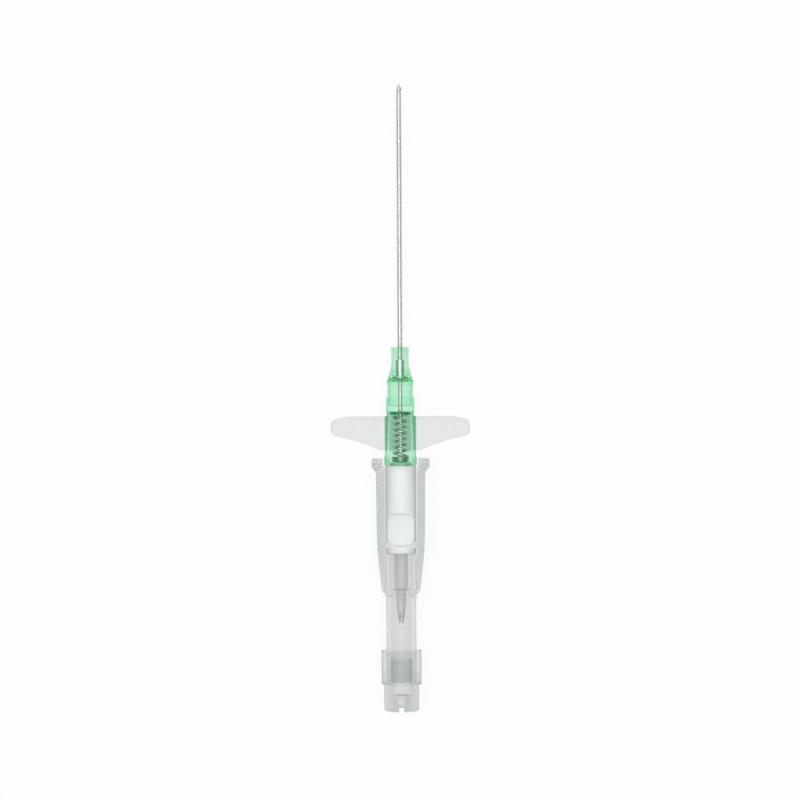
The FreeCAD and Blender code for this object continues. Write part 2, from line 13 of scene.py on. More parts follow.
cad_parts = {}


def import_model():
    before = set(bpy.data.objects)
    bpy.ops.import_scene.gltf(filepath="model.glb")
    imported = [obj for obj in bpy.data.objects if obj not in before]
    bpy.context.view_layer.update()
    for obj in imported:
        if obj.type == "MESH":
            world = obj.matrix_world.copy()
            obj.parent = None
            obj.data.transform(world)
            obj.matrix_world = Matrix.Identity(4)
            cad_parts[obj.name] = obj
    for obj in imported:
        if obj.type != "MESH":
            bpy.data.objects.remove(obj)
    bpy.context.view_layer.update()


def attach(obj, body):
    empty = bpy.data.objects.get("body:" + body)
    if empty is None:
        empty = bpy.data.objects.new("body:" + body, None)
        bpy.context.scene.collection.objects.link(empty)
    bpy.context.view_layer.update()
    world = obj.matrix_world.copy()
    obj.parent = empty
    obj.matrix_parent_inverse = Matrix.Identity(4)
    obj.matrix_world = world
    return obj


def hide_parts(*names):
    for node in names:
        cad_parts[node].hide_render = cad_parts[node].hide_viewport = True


LOG = logging.getLogger("iv_cannula")

MM = 0.001
# The needle's axis above the floor and the middle of the length, in mm.
AXIS_HEIGHT = 3.9
MIDDLE = 55.9
# Divisions of a full turn, edges that stay sharp, and the distance in m that joins two corners.
ROUND_STEPS = 96
NARROW_STEPS = 64
WIRE_STEPS = 14
SHARP_DEGREES = 32.0
MERGED = 1e-8
# How far a cutter reaches past what it opens, in mm.
PAST = 1.0
# The most of an outline's leg that one rounded corner takes up.
LEG_SHARE = 0.45
# The greys between which a noise mostly lies, and its octaves for tint, gloss and skin.
NOISE_LOW, NOISE_HIGH = 0.3, 0.7
TINT_DETAIL, GLOSS_DETAIL, SKIN_DETAIL = 3.0, 4.0, 2.0
# The share of a painted shade band that has its full colour, and how far red, green and blue light
# scatters.
PAINTED_SHADE_CORE = 0.4
SCATTER = (1.0, 1.0, 0.95)
# Density above the largest loss, so that no share of the absorbing colour falls to zero.
HEADROOM = 1.02
# Numbers of a Mix node's colour sockets: its first colour, its second one and the result.
FIRST, SECOND, RESULT = 6, 7, 2

Point = tuple[float, float]
Place = tuple[float, float, float]
Tree = bpy.types.NodeTree
Socket = bpy.types.NodeSocket
Piece = bpy.types.Object


class Joined(Enum):
    """How one solid is combined with another."""

    ADDED = "UNION"
    CUT = "DIFFERENCE"


class Corner(NamedTuple):
    """A corner of an outline: two coordinates and the radius that rounds it, in mm."""

    across: float
    along: float
    ease: float = 0.0


def linear(colour: str) -> tuple[float, float, float, float]:
    """Turn a written sRGB colour into the linear one that shaders use.

    Args:
        colour: Six hex digits with a leading hash.

    Returns:
        Linear red, green, blue and an alpha of one.
    """
    parts = [int(colour[i:i + 2], 16) / 255 for i in (1, 3, 5)]
    red, green, blue = (p / 12.92 if p <= 0.04045 else ((p + 0.055) / 1.055) ** 2.4 for p in parts)
    return red, green, blue, 1.0


def add_node(tree: Tree, kind: str, sockets: Optional[dict] = None, **settings) -> bpy.types.Node:
    """Add a node with its settings, its constant inputs and the links into it.

    Args:
        tree: The node tree that gets the node.
        kind: The node's type name.
        sockets: Values or output sockets by input name or number.
        **settings: Attributes of the node itself.

    Returns:
        The new node.
    """
    made = tree.nodes.new(kind)
    for name, setting in settings.items():
        setattr(made, name, setting)
    for name, given in (sockets or {}).items():
        if isinstance(given, Socket):
            tree.links.new(given, made.inputs[name])
        else:
            made.inputs[name].default_value = given
    return made


def blank_material(name: str) -> bpy.types.Material:
    """Make a material with an empty node tree.

    Args:
        name: The material's name.

    Returns:
        The new material.
    """
    material = bpy.data.materials.new(name)
    material.use_nodes = True
    material.node_tree.nodes.clear()
    return material


@dataclass(frozen=True)
class Surface:
    """How a finish looks to the shader, with its patterns scaled in mm.

    The tint drifts between two colours over `drift_mm`, the gloss changes over `haze_mm`, and the
    skin rises and falls by `relief_mm` over `grain_mm`. White light that crosses `depth_mm` of the
    plastic comes out as `depth_colour`. Where a part inside shades the wall, a band of painted
    shade deepens the tint, given by its station and half width.
    """

    name: str
    colour: str
    second_colour: str
    roughness: tuple[float, float]
    ior: float = 1.5
    metallic: float = 0.0
    transmission: float = 0.0
    subsurface_mm: float = 0.0
    depth_colour: str = ""
    depth_mm: float = 1.0
    painted_shade_colour: str = ""
    painted_shade_bands: tuple[Point, ...] = ()
    drift_mm: float = 3.0
    haze_mm: float = 1.2
    grain_mm: float = 0.25
    relief_mm: float = 0.004
    stretch: Place = (1.0, 1.0, 1.0)

    def noise(self, tree: Tree, size_mm: float, detail: float) -> Socket:
        """Add a noise whose blobs are about size_mm wide on the object.

        Args:
            tree: The material's node tree.
            size_mm: Width of the pattern.
            detail: Octaves of finer pattern.

        Returns:
            The noise's grey output.
        """
        place = add_node(tree, "ShaderNodeTexCoord")
        scale = [axis / (size_mm * MM) for axis in self.stretch]
        sizes = {"Vector": place.outputs["Object"], "Scale": scale}
        mapped = add_node(tree, "ShaderNodeMapping", sizes)
        pattern = {"Vector": mapped.outputs["Vector"], "Scale": 1.0, "Detail": detail}
        return add_node(tree, "ShaderNodeTexNoise", pattern).outputs["Fac"]

    def with_painted_shade(self, tree: Tree, tint: Socket) -> Socket:
        """Deepen a tint at the finish's bands.

        Args:
            tree: The material's node tree.
            tint: The colour outside the painted shade.

        Returns:
            The colour with its painted shade.
        """
        place = add_node(tree, "ShaderNodeTexCoord")
        spot = add_node(tree, "ShaderNodeSeparateXYZ", {"Vector": place.outputs["Object"]})
        for station, half in self.painted_shade_bands:
            off = add_node(tree, "ShaderNodeMath", {
                0: spot.outputs["Y"], 1: (station - MIDDLE) * MM,
            }, operation="SUBTRACT")
            gap = add_node(tree, "ShaderNodeMath", {0: off.outputs[0]}, operation="ABSOLUTE")
            # Painted shade: full at the band's middle, fading out towards its edges.
            share = add_node(tree, "ShaderNodeMapRange", {
                "Value": gap.outputs[0], "From Min": half * MM, "From Max": PAINTED_SHADE_CORE * half * MM,
            }, interpolation_type="SMOOTHSTEP")
            shaded = add_node(tree, "ShaderNodeMix", {
                0: share.outputs["Result"], FIRST: tint, SECOND: linear(self.painted_shade_colour),
            }, data_type="RGBA")
            tint = shaded.outputs[RESULT]
        return tint

    def material(self) -> bpy.types.Material:
        """The finish's material, made once."""
        return bpy.data.materials.get(self.name) or self.make()

    def make(self) -> bpy.types.Material:
        """Build the material's nodes.

        Returns:
            The new material.
        """
        material = blank_material(self.name)
        tree = material.node_tree
        drift = add_node(tree, "ShaderNodeMix", {
            0: self.noise(tree, self.drift_mm, TINT_DETAIL),
            FIRST: linear(self.colour),
            SECOND: linear(self.second_colour),
        }, data_type="RGBA")
        tint = drift.outputs[RESULT]
        gloss = add_node(tree, "ShaderNodeMapRange", {
            "Value": self.noise(tree, self.haze_mm, GLOSS_DETAIL),
            "From Min": NOISE_LOW,
            "From Max": NOISE_HIGH,
            "To Min": self.roughness[0],
            "To Max": self.roughness[1],
        })
        skin = add_node(tree, "ShaderNodeBump", {
            "Height": self.noise(tree, self.grain_mm, SKIN_DETAIL),
            "Distance": self.relief_mm * MM,
            "Strength": 1.0,
        })
        shader = add_node(tree, "ShaderNodeBsdfPrincipled", {
            # Painted shade rings, where the finish has any.
            "Base Color": self.with_painted_shade(tree, tint) if self.painted_shade_bands else tint,
            "Roughness": gloss.outputs["Result"],
            "Normal": skin.outputs["Normal"],
            "Metallic": self.metallic,
            "Transmission Weight": self.transmission,
        })
        if not self.metallic:
            shader.inputs["IOR"].default_value = self.ior
        if self.subsurface_mm:
            shader.inputs["Subsurface Weight"].default_value = 1.0
            shader.inputs["Subsurface Radius"].default_value = SCATTER
            shader.inputs["Subsurface Scale"].default_value = self.subsurface_mm * MM
        output = add_node(tree, "ShaderNodeOutputMaterial", {"Surface": shader.outputs["BSDF"]})
        if self.depth_colour:
            left = linear(self.depth_colour)[:3]
            losses = [-math.log(share) / (self.depth_mm * MM) for share in left]
            density = HEADROOM * max(losses)
            inside = add_node(tree, "ShaderNodeVolumeAbsorption", {
                "Color": (*(1 - loss / density for loss in losses), 1.0), "Density": density,
            })
            tree.links.new(inside.outputs["Volume"], output.inputs["Volume"])
        return material


# Drawn and ground stainless steel tube: grey with fine streaks along its length.
NEEDLE_STEEL = Surface(
    name="drawn_stainless_steel", colour="#E0E1E2", second_colour="#CCCDCF",
    roughness=(0.38, 0.5), metallic=1.0, drift_mm=0.3, haze_mm=0.2, grain_mm=0.08,
    relief_mm=0.0008, stretch=(1.0, 0.06, 1.0),
)
# Hard-drawn spring wire: glossier than the needle, so its turns read as bright and dark dots.
SPRING_STEEL = Surface(
    name="spring_wire_steel", colour="#D4D8D6", second_colour="#BABFBC",
    roughness=(0.08, 0.16), metallic=1.0, drift_mm=0.4, haze_mm=0.2, grain_mm=0.06,
    relief_mm=0.001,
)
# Stamped guard ends: tumbled dull and dark, so they read as deep green rings through the hub.
STAMPED_STEEL = Surface(
    name="stamped_spring_steel", colour="#A3A9A6", second_colour="#8C928F",
    roughness=(0.34, 0.48), metallic=1.0, drift_mm=0.5, haze_mm=0.3, grain_mm=0.1, relief_mm=0.001,
)
# Deep-drawn stainless ferrule: dull, so its flange reads as a soft dark ring through the hub.
FERRULE_STEEL = Surface(
    name="deep_drawn_steel", colour="#E2E6E4", second_colour="#CDD2D0",
    roughness=(0.28, 0.42), metallic=1.0, drift_mm=0.5, haze_mm=0.3, grain_mm=0.1, relief_mm=0.001,
)
# Extruded fluoropolymer: nearly water-clear and slippery, so its edges are lost against white.
TUBE_FLUOROPOLYMER = Surface(
    name="extruded_fluoropolymer", colour="#FBFCFC", second_colour="#F4F6F6",
    roughness=(0.04, 0.1), ior=1.07, transmission=1.0, drift_mm=2.0, haze_mm=0.6, grain_mm=0.2,
    relief_mm=0.0006, stretch=(1.0, 0.1, 1.0),
)
# Injection-moulded translucent polypropylene, tinted through: deeper green where more wall is seen,
# and with painted shade in two rings over the ferrule's flange and the guard's washer.
HUB_POLYPROPYLENE = Surface(
    name="green_moulded_polypropylene", colour="#FDFFFE", second_colour="#F9FEFB",
    roughness=(0.06, 0.14), ior=1.2, transmission=1.0, depth_colour="#90E4B0", depth_mm=3.9,
    drift_mm=2.5, haze_mm=0.9, grain_mm=0.35, relief_mm=0.002, painted_shade_colour="#AEE0C0",
    painted_shade_bands=((58.95, 0.5), (53.0, 0.55)),
)
# Soft moulded wing elastomer: translucent, with a fine matt skin that blurs what lies below it.
WING_ELASTOMER = Surface(
    name="translucent_moulded_elastomer", colour="#F0F1F1", second_colour="#ECEEED",
    roughness=(0.42, 0.56), ior=1.3, transmission=1.0, depth_colour="#EFF1F0", depth_mm=0.8,
    drift_mm=4.0, haze_mm=1.0, grain_mm=0.12, relief_mm=0.004,
)
# Moulded polypropylene without colour: a white that lets light in, with soft gloss.
HOLDER_POLYPROPYLENE = Surface(
    name="milky_moulded_polypropylene", colour="#F0F3F1", second_colour="#EAEEEC",
    roughness=(0.4, 0.52), ior=1.49, subsurface_mm=0.6, drift_mm=3.5, haze_mm=0.9, grain_mm=0.2,
    relief_mm=0.003,
)
# Moulded copolymer, see-through with a grey haze from the mould's satin finish.
GRIP_COPOLYMER = Surface(
    name="hazy_moulded_copolymer", colour="#F2F3F3", second_colour="#EEEFEF",
    roughness=(0.14, 0.23), ior=1.18, transmission=1.0, depth_colour="#DADCDC", depth_mm=8.0,
    drift_mm=4.0, haze_mm=1.0, grain_mm=0.4, relief_mm=0.003,
)
# Moulded polypropylene of the plug, a shade hazier and greyer than the grip.
PLUG_POLYPROPYLENE = Surface(
    name="natural_moulded_polypropylene", colour="#FEFEFE", second_colour="#FCFDFD",
    roughness=(0.3, 0.36), ior=1.14, transmission=1.0, depth_colour="#DADCDC", depth_mm=4.2,
    drift_mm=3.0, haze_mm=0.8, grain_mm=0.3, relief_mm=0.003,
)
# Sintered porous plastic: matt white grains about 0.15 mm across, so it reads as chalk.
FILTER_POROUS = Surface(
    name="sintered_porous_plastic", colour="#FFFFFD", second_colour="#F8F8F5",
    roughness=(0.8, 0.95), drift_mm=0.4, haze_mm=0.3, grain_mm=0.15, relief_mm=0.04,
)


def eased(corners: Sequence[Corner], steps: int = 6) -> list[Point]:
    """Round the corners of a closed outline.

    Args:
        corners: The outline's corners in order.
        steps: Points laid on each rounded corner.

    Returns:
        The points of the rounded outline.
    """
    points: list[Point] = []
    for number, corner in enumerate(corners):
        here = Vector((corner.across, corner.along))
        if not corner.ease:
            points.append(tuple(here))
            continue
        before = Vector(corners[number - 1][:2]) - here
        after = Vector(corners[(number + 1) % len(corners)][:2]) - here
        half = before.angle(after) / 2
        leg = LEG_SHARE * min(before.length, after.length)
        cut = min(corner.ease / math.tan(half), leg)
        start, end = here + before.normalized() * cut, here + after.normalized() * cut
        for step in range(steps):
            t = step / (steps - 1)
            points.append(tuple(start * (1 - t) ** 2 + here * 2 * t * (1 - t) + end * t ** 2))
    return points


def placed(across: float, station: float, height: float) -> Vector:
    """Turn mm across, along and above the needle's axis into the frame's metres."""
    return Vector((across, station - MIDDLE, height + AXIS_HEIGHT)) * MM


def linked(name: str, data: bpy.types.ID) -> Piece:
    """Put a mesh, a lamp or a camera into the scene as an object.

    Args:
        name: The object's name.
        data: The mesh, lamp or camera.

    Returns:
        The linked object.
    """
    piece = bpy.data.objects.new(name, data)
    bpy.context.scene.collection.objects.link(piece)
    return piece


def closed(name: str, mesh: bpy.types.Mesh, shell: bmesh.types.BMesh) -> Piece:
    """Write a worked mesh back with its faces outwards, and put it into the scene.

    Args:
        name: The piece's name.
        mesh: The mesh that is filled.
        shell: The worked mesh, which is freed.

    Returns:
        The linked object.
    """
    bmesh.ops.recalc_face_normals(shell, faces=shell.faces)
    shell.to_mesh(mesh)
    shell.free()
    return linked(name, mesh)


def new_piece(name: str, verts: Iterable[Vector], faces: Iterable[Sequence[int]]) -> Piece:
    """Make a smooth mesh object whose faces point outwards.

    Args:
        name: The piece's name.
        verts: Corners in metres.
        faces: Corner numbers of each face.

    Returns:
        The linked object.
    """
    mesh = bpy.data.meshes.new(name)
    mesh.from_pydata([tuple(v) for v in verts], [], [tuple(f) for f in faces])
    shell = bmesh.new()
    shell.from_mesh(mesh)
    bmesh.ops.remove_doubles(shell, verts=shell.verts, dist=MERGED)
    return closed(name, mesh, shell)


def lathe(name: str, corners: Sequence[Corner], steps: int = ROUND_STEPS) -> Piece:
    """Turn a closed outline about the needle's axis.

    Args:
        name: The piece's name.
        corners: Corners as radius, station and rounding; a radius of zero lies on the axis.
        steps: Divisions of the full turn.

    Returns:
        The turned piece.
    """
    points = eased(corners)
    verts: list[Vector] = []
    rings: list[list[int]] = []
    for radius, station in points:
        first = len(verts)
        if not radius:
            verts.append(placed(0.0, station, 0.0))
            rings.append([first] * steps)
            continue
        for step in range(steps):
            turn = 2 * math.pi * step / steps
            verts.append(placed(radius * math.sin(turn), station, radius * math.cos(turn)))
        rings.append(list(range(first, first + steps)))
    faces: list[list[int]] = []
    for number, ring in enumerate(rings):
        following = rings[(number + 1) % len(rings)]
        for step in range(steps):
            face = [ring[step], ring[step - 1], following[step - 1], following[step]]
            distinct = list(dict.fromkeys(face))
            if len(distinct) > 2:
                faces.append(distinct)
    return new_piece(name, verts, faces)


def loft(name: str, sections: Sequence[Sequence[Vector]]) -> Piece:
    """Skin a row of closed sections and close both ends.

    Args:
        name: The piece's name.
        sections: Loops with the same number of points each.

    Returns:
        The lofted piece.
    """
    count = len(sections[0])
    verts = [point for section in sections for point in section]
    faces = [
        [low + n, low + (n + 1) % count, low + count + (n + 1) % count, low + count + n]
        for low in range(0, (len(sections) - 1) * count, count)
        for n in range(count)
    ]
    faces.append(list(range(count)))
    faces.append(list(range(len(verts) - count, len(verts))))
    return new_piece(name, verts, faces)


def block(name: str, start: Place, end: Place, ease: float = 0.0) -> Piece:
    """A box between two opposite corners in mm about the axis, with its edges rounded.

    Args:
        name: The piece's name.
        start: Across, station and height of one corner.
        end: The same of the opposite corner.
        ease: Radius of the edges in mm.

    Returns:
        The box.
    """
    shell = bmesh.new()
    bmesh.ops.create_cube(shell, size=1.0)
    low, high = Vector(map(min, start, end)), Vector(map(max, start, end))
    size, centre = high - low, (high + low) / 2
    for vert in shell.verts:
        vert.co = placed(*(Vector([a * b for a, b in zip(vert.co, size)]) + centre))
    if ease:
        bmesh.ops.bevel(
            shell, geom=shell.edges[:], offset=ease * MM, segments=4, affect="EDGES", profile=0.5,
            clamp_overlap=True,
        )
    return closed(name, bpy.data.meshes.new(name), shell)


def baked(piece: Piece) -> Piece:
    """Turn a piece's modifiers into plain mesh.

    Args:
        piece: The piece with its modifiers.

    Returns:
        The same piece, with the new mesh and no modifier.
    """
    bpy.context.view_layer.update()
    ready = piece.evaluated_get(bpy.context.evaluated_depsgraph_get())
    mesh = bpy.data.meshes.new_from_object(ready)
    piece.modifiers.clear()
    piece.data = mesh
    mesh.name = piece.name
    return piece


def combined(piece: Piece, tool: Piece, how: Joined) -> Piece:
    """Add a second solid to a piece or cut it away, and drop the second solid.

    Args:
        piece: The piece that is kept.
        tool: The solid that is added or cut away.
        how: Which of the two.

    Returns:
        The changed piece.
    """
    change = piece.modifiers.new(how.name, "BOOLEAN")
    change.operation = how.value
    change.solver = "EXACT"
    change.object = tool
    baked(piece)
    bpy.data.objects.remove(tool)
    return piece


def softened(piece: Piece, width_mm: float, angle_deg: float = 35.0) -> Piece:
    """Round a piece's sharp edges by a small radius.

    Args:
        piece: The piece.
        width_mm: Width of the rounding.
        angle_deg: Edges that turn by more than this are rounded.

    Returns:
        The rounded piece.
    """
    change = piece.modifiers.new("Softened", "BEVEL")
    change.width = width_mm * MM
    change.segments = 2
    change.limit_method = "ANGLE"
    change.angle_limit = math.radians(angle_deg)
    change.use_clamp_overlap = True
    return baked(piece)


def smooth_line(knots: Sequence[Point]) -> Callable[[float], float]:
    """A curve through knots that never overshoots them.

    Args:
        knots: Pairs of position and value, in rising order.

    Returns:
        A function that gives the value at a position.
    """
    gaps = [b[0] - a[0] for a, b in zip(knots, knots[1:])]
    slopes = [(b[1] - a[1]) / gap for a, b, gap in zip(knots, knots[1:], gaps)]
    leans = [slopes[0]]
    for left, right in zip(slopes, slopes[1:]):
        leans.append(0.0 if left * right <= 0 else 2 * left * right / (left + right))
    leans.append(slopes[-1])

    def at(position: float) -> float:
        """The curve's value at a position.

        Args:
            position: Where it is read; past either end the end's value holds.

        Returns:
            The value.
        """
        place = max(knots[0][0], min(knots[-1][0], position))
        n = max(i for i in range(len(gaps)) if knots[i][0] <= place)
        t = (place - knots[n][0]) / gaps[n]
        start, end = knots[n][1], knots[n + 1][1]
        rise = (2 * t ** 3 - 3 * t ** 2 + 1) * start + (3 * t ** 2 - 2 * t ** 3) * end
        bend = (t ** 3 - 2 * t ** 2 + t) * leans[n] + (t ** 3 - t ** 2) * leans[n + 1]
        return rise + bend * gaps[n]

    return at


def spaced(start: float, end: float, count: int) -> list[float]:
    """Count evenly spaced numbers from start to end."""
    return [start + (end - start) * n / (count - 1) for n in range(count)]


def round_box_section(
    half_width: float, half_height: float, corner: float, steps: int = 14,
) -> list[Point]:
    """Points round a rectangle with round corners.

    Args:
        half_width: Half of its width in mm.
        half_height: Half of its height in mm.
        corner: Radius of its corners in mm.
        steps: Points on each corner.

    Returns:
        The closed outline, starting at the right.
    """
    corner = min(corner, half_width, half_height)
    points: list[Point] = []
    for quarter, (side, up) in enumerate(((1, 1), (-1, 1), (-1, -1), (1, -1))):
        across, along = side * (half_width - corner), up * (half_height - corner)
        for step in range(steps):
            turn = (quarter + step / (steps - 1)) * math.pi / 2
            points.append((across + corner * math.cos(turn), along + corner * math.sin(turn)))
    return points


def dressed(piece: Piece, finish: Surface, body: str, nodes: Sequence[str]) -> None:
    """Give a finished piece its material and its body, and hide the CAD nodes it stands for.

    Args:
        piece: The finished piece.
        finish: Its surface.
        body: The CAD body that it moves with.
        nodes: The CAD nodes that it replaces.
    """
    piece.data.materials.clear()
    piece.data.materials.append(finish.material())
    piece.data.shade_smooth()
    piece.data.set_sharp_from_angle(angle=math.radians(SHARP_DEGREES))
    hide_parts(*nodes)
    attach(piece, body)
    LOG.info("%s: %d faces, rides on %s", piece.name, len(piece.data.polygons), body)


@dataclass(frozen=True)
class Needle:
    """Ground steel tube with a bevelled point and a crimp behind it."""

    outer: float = 0.41
    bore: float = 0.28
    rear: float = 15.7
    tip: float = 111.8
    bevel: float = 1.9
    crimp: float = 0.43
    crimp_rear: float = 100.95
    crimp_front: float = 101.75
    crimp_slope: float = 0.2
    lancet: float = 1.9
    lancet_turn: float = 50.0
    wheel_reach: float = 2.0
    wheel_rise: float = 3.0

    def build(self) -> None:
        """Turn the tube, grind the bevel and its two side facets, and dress it."""
        piece = lathe("needle_tube", [
            Corner(self.bore, self.rear),
            Corner(self.outer, self.rear, ease=0.05),
            Corner(self.outer, self.crimp_rear),
            Corner(self.crimp, self.crimp_rear + self.crimp_slope),
            Corner(self.crimp, self.crimp_front - self.crimp_slope),
            Corner(self.outer, self.crimp_front),
            Corner(self.outer, self.tip - 2 * self.bevel),
            Corner(self.outer, self.tip),
            Corner(self.bore, self.tip),
            Corner(self.bore, self.tip - 2 * self.bevel),
        ], NARROW_STEPS)
        combined(piece, self.wheel("bevel_wheel", 0.0, self.bevel), Joined.CUT)
        for side in (-1, 1):
            roll = side * math.radians(self.lancet_turn)
            combined(piece, self.wheel("lancet_wheel", roll, self.lancet), Joined.CUT)
        dressed(piece, NEEDLE_STEEL, "needle_unit", ["needle"])

    def wheel(self, name: str, roll: float, length: float) -> Piece:
        """A grinding block whose lower face is the slope of the bevel.

        A rolled block stands further forward, so that its facet meets the bevel at the tip.

        Args:
            name: The block's name.
            roll: Turn about the needle's axis.
            length: Length of the slope on the needle.

        Returns:
            The block, in place.
        """
        low, high = -self.outer, self.outer
        rise = (high - low) / length
        tip = self.tip + length * (1 - math.cos(roll)) / 2
        reach, top = self.wheel_reach, high + self.wheel_rise
        side = [(-length, high), (reach, low - reach * rise), (reach, top), (-length, top)]
        corners = [Vector((x, tip + y - MIDDLE, z)) for x in (-reach, reach) for y, z in side]
        turn = Matrix.Rotation(roll, 3, "Y")
        verts = [(turn @ corner + Vector((0, 0, AXIS_HEIGHT))) * MM for corner in corners]
        faces = [(0, 1, 2, 3), (4, 5, 6, 7), (0, 1, 5, 4), (1, 2, 6, 5), (2, 3, 7, 6), (3, 0, 4, 7)]
        return new_piece(name, verts, faces)


@dataclass(frozen=True)
class Holder:
    """Milky moulding that holds the needle: tail cone, boss, barrel with recesses, spigot."""

    cone_rear: float = 16.6
    cone_tip: float = 0.575
    tail: float = 1.05
    boss_rear: float = 21.8
    boss: float = 1.4
    rear: float = 28.0
    front: float = 43.7
    barrel: float = 2.75
    spigot_front: float = 44.3
    spigot: float = 1.95
    bore: float = 0.43
    notch_rear: float = 28.9
    notch_front: float = 30.25
    notch_depth: float = 0.62
    notch_half_height: float = 4.0
    recess_rear: float = 29.3
    recess_front: float = 35.3
    recess_half: float = 2.4
    recess_depth: float = 1.3
    recess_corner: float = 1.9
    edge: float = 0.07

    def build(self) -> None:
        """Turn the core, sink its recesses and notches, and dress it."""
        piece = lathe("needle_holder_moulding", [
            Corner(self.bore, self.cone_rear),
            Corner(self.cone_tip, self.cone_rear, ease=0.08),
            Corner(self.tail, self.boss_rear, ease=0.05),
            Corner(self.boss, self.boss_rear, ease=0.3),
            Corner(self.boss, self.rear, ease=0.25),
            Corner(self.barrel, self.rear, ease=0.3),
            Corner(self.barrel, self.front, ease=0.12),
            Corner(self.spigot, self.front, ease=0.08),
            Corner(self.spigot, self.spigot_front, ease=0.12),
            Corner(self.bore, self.spigot_front),
        ])
        for side in (-1, 1):
            combined(piece, self.recess(side), Joined.CUT)
        for side in (-1, 1):
            floor = side * (self.barrel - self.notch_depth)
            start = floor, self.notch_rear, -self.notch_half_height
            end = side * (self.barrel + PAST), self.notch_front, self.notch_half_height
            combined(piece, block("notch", start, end), Joined.CUT)
        softened(piece, self.edge)
        dressed(
            piece, HOLDER_POLYPROPYLENE, "needle_unit", ["needle_holder"],
        )

    def recess(self, side: int) -> Piece:
        """The block that sinks one long round-cornered recess.

        Args:
            side: 1 for the one above, -1 for the one below.

        Returns:
            The block, in place.
        """
        half = (self.recess_front - self.recess_rear) / 2
        middle = self.recess_rear + half
        plan = round_box_section(self.recess_half, half, self.recess_corner)
        floor = side * (self.barrel - self.recess_depth)
        levels = [floor, side * (self.barrel + PAST)]
        return loft("recess", [[placed(x, middle + y, level) for x, y in plan] for level in levels])


@dataclass(frozen=True)
class Grip:
    """Clear moulding: flared finger plates, funnel, shoulder and flash chamber barrel.

    The skin's sections lie in runs, given by their first and last station and their number. The
    sections that round both rims are given by their distance from the end and their inset.
    """

    barrel_rear: float = 5.35
    front: float = 44.95
    half_widths: tuple[Point, ...] = (
        (5.35, 2.67), (19.6, 2.67), (20.55, 2.8), (21.45, 3.38), (23.2, 3.62), (25.38, 3.85),
        (27.6, 4.08), (30.18, 4.25), (36.0, 4.33), (42.2, 4.4), (42.65, 4.5), (43.45, 5.1),
        (43.7, 5.15), (44.95, 5.15),
    )
    half_heights: tuple[Point, ...] = (
        (5.35, 2.67), (19.6, 2.67), (20.55, 2.77), (21.45, 3.1), (25.38, 3.6), (30.18, 3.83),
        (42.65, 3.9), (44.95, 3.9),
    )
    corners: tuple[Point, ...] = (
        (5.35, 2.67), (19.6, 2.67), (20.55, 2.3), (21.45, 1.7), (24.0, 1.2), (28.0, 1.1),
        (44.95, 1.1),
    )
    runs: tuple[tuple[float, float, int], ...] = (
        (7.0, 19.0, 8), (19.4, 24.0, 24), (24.5, 42.0, 22), (42.1, 44.75, 22),
    )
    rear_rim: tuple[Point, ...] = ((0.0, 0.12), (0.04, 0.05), (0.12, 0.0))
    front_rim: tuple[Point, ...] = ((-0.08, 0.05), (0.0, 0.2))
    barrel_bore: float = 1.95
    funnel_rear: float = 21.75
    funnel_bore: float = 2.6
    channel: float = 2.85
    channel_rear: float = 28.0
    mouth: float = 3.17
    mouth_rear: float = 43.45
    open_half_height: float = 6.0
    catch_depth: float = 2.23
    catch_rear: float = 29.0
    catch_front: float = 30.15
    catch_half_height: float = 2.0
    catch_root: float = 0.3
    edge: float = 0.08

    def skin(self) -> Piece:
        """The outside as one smooth loft from the barrel to the flange.

        Returns:
            The loft, still solid inside.
        """
        lines = (self.half_widths, self.half_heights, self.corners)
        width, height, corner = (smooth_line(knots) for knots in lines)
        rear = [(self.barrel_rear + past, inset) for past, inset in self.rear_rim]
        between = [(station, 0.0) for run in self.runs for station in spaced(*run)]
        front = [(self.front + past, inset) for past, inset in self.front_rim]
        sections = []
        for station, inset in rear + between + front:
            halves = width(station) - inset, height(station) - inset
            plan = round_box_section(*halves, corner(station))
            sections.append([placed(x, station, z) for x, z in plan])
        return loft("grip_moulding", sections)

    def build(self) -> None:
        """Skin the outside, open the chamber, channel and mouth, add the catches, and dress it."""
        piece = self.skin()
        combined(piece, lathe("chamber", [
            Corner(0.0, self.barrel_rear - PAST),
            Corner(self.barrel_bore, self.barrel_rear - PAST),
            Corner(self.barrel_bore, self.funnel_rear, ease=0.3),
            Corner(self.funnel_bore, self.funnel_rear, ease=0.6),
            Corner(self.funnel_bore, self.channel_rear + self.catch_root),
            Corner(0.0, self.channel_rear + self.catch_root),
        ]), Joined.CUT)
        for name, half, rear in (
            ("channel", self.channel, self.channel_rear), ("mouth", self.mouth, self.mouth_rear),
        ):
            start = -half, rear, -self.open_half_height
            end = half, self.front + PAST, self.open_half_height
            combined(piece, block(name, start, end), Joined.CUT)
        for side in (-1, 1):
            start = side * self.catch_depth, self.catch_rear, -self.catch_half_height
            root = side * (self.channel + self.catch_root)
            end = root, self.catch_front, self.catch_half_height
            combined(piece, block("catch", start, end), Joined.ADDED)
        softened(piece, self.edge)
        dressed(piece, GRIP_COPOLYMER, "needle_unit", ["grip_shell"])


@dataclass(frozen=True)
class CatheterTube:
    """Soft tube that thins at its tip and flares over the ferrule."""

    outer: float = 0.6
    bore: float = 0.46
    rear: float = 59.55
    flare: float = 0.95
    flare_rear: float = 62.45
    flare_front: float = 64.95
    taper_rear: float = 107.75
    tip: float = 109.75
    tip_radius: float = 0.5

    def build(self) -> None:
        """Turn the tube and dress it."""
        wall = self.outer - self.bore
        piece = lathe("soft_tube", [
            Corner(self.flare - wall, self.rear),
            Corner(self.flare, self.rear),
            Corner(self.flare, self.flare_rear, ease=0.4),
            Corner(self.outer, self.flare_front, ease=0.4),
            Corner(self.outer, self.taper_rear, ease=2.0),
            Corner(self.tip_radius, self.tip, ease=0.03),
            Corner(self.bore, self.tip),
            Corner(self.bore, self.flare_front, ease=0.4),
            Corner(self.flare - wall, self.flare_rear, ease=0.4),
        ], NARROW_STEPS)
        dressed(piece, TUBE_FLUOROPOLYMER, "catheter", ["catheter_tube"])


